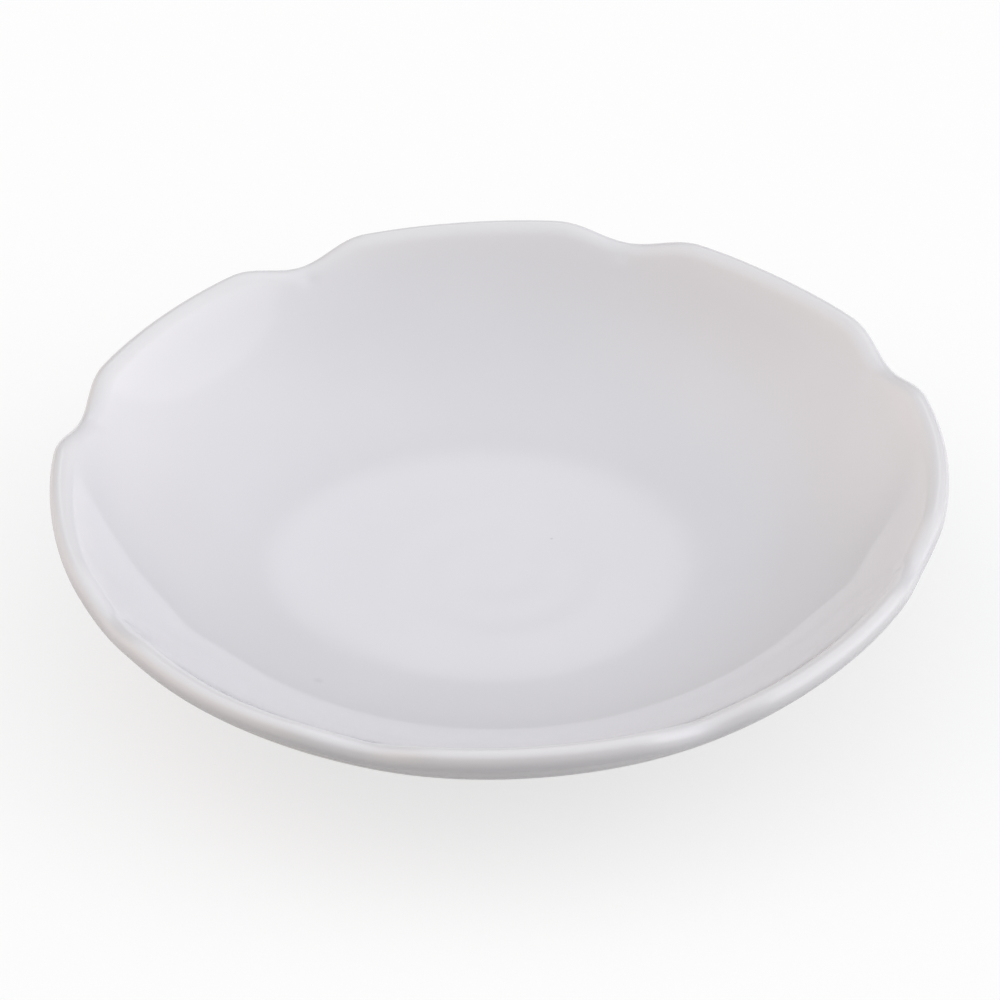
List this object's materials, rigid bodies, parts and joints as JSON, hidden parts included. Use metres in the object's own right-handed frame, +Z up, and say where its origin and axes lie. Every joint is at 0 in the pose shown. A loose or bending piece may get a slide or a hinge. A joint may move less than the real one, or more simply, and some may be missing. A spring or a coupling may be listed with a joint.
{
  "type": "soy sauce dish",
  "caption": "Small shallow round dish of white glazed porcelain with a softly lobed, rounded rim, a flat-floored well for sauce and a foot ring to stand on.",
  "frame": {"origin": "centre of the face under the foot ring, on the surface that the dish stands on", "axes": "+Z up along the dish's axis; +X through the middle of one lobe of the rim"},
  "size_m": [0.0954, 0.0954, 0.0188],
  "materials": {
    "porcelain": "fine matt, unglazed",
    "glaze": "gloss"
  },
  "bodies": {
    "root": {"porcelain_body": "porcelain", "glaze_coat": "glaze", "foot_glaze": "glaze"}
  },
  "joints": []
}
